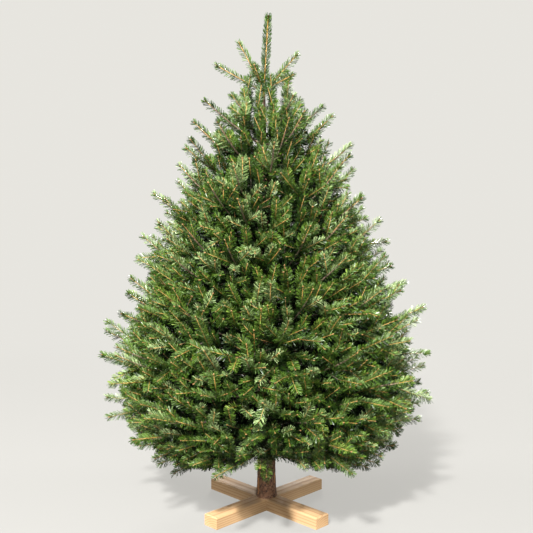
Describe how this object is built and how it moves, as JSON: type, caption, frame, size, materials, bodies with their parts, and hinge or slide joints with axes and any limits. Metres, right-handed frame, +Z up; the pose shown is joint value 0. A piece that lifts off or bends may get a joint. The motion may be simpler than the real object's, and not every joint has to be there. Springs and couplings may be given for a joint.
{
  "type": "christmas tree",
  "caption": "Cut fir Christmas tree with a dense conical crown, a bare leader and a short trunk, screwed to a half-lapped wooden cross.",
  "frame": {"origin": "on the flat underside of the wooden cross, under the middle of the trunk's saw cut", "axes": "+Z up along the trunk towards the leader's tip; -Y towards the viewer of the picture; +X to the viewer's right"},
  "size_m": [1.2674, 1.2607, 1.9453],
  "materials": {
    "bark": "rough scaly bark",
    "bough_bark": "fine-grained young bark",
    "needles": "waxy green needles",
    "timber": "planed bare softwood",
    "steel": "bright zinc"
  },
  "bodies": {
    "root": {"bough_1_1": "bough_bark", "bough_1_2": "bough_bark", "bough_1_3": "bough_bark", "bough_1_4": "bough_bark", "bough_1_5": "bough_bark", "bough_2_1": "bough_bark", "bough_2_2": "bough_bark", "bough_2_3": "bough_bark", "bough_2_4": "bough_bark", "bough_2_5": "bough_bark", "bough_3_1": "bough_bark", "bough_3_2": "bough_bark", "bough_3_3": "bough_bark", "bough_3_4": "bough_bark", "bough_3_5": "bough_bark", "foliage_1_1": "needles", "foliage_1_2": "needles", "foliage_1_3": "needles", "foliage_1_4": "needles", "foliage_1_5": "needles", "foliage_2_1": "needles", "foliage_2_2": "needles", "foliage_2_3": "needles", "foliage_2_4": "needles", "foliage_2_5": "needles", "foliage_3_1": "needles", "foliage_3_2": "needles", "foliage_3_3": "needles", "foliage_3_4": "needles", "foliage_3_5": "needles", "foliage_4_1": "needles", "foliage_4_2": "needles", "foliage_4_3": "needles", "foliage_4_4": "needles", "foliage_4_5": "needles", "foliage_5_1": "needles", "foliage_5_2": "needles", "foliage_5_3": "needles", "foliage_5_4": "needles", "foliage_5_5": "needles", "foliage_6_1": "needles", "foliage_6_2": "needles", "foliage_6_3": "needles", "foliage_6_4": "needles", "foliage_6_5": "needles", "foliage_7_1": "needles", "foliage_7_2": "needles", "foliage_7_3": "needles", "foliage_7_4": "needles", "foliage_8_1": "needles", "foliage_8_2": "needles", "foliage_8_3": "needles", "foliage_8_4": "needles", "leader": "needles", "stand_beam_lower": "timber", "stand_beam_upper": "timber", "stand_screw_left": "steel", "stand_screw_right": "steel", "trunk": "bark"}
  },
  "joints": []
}
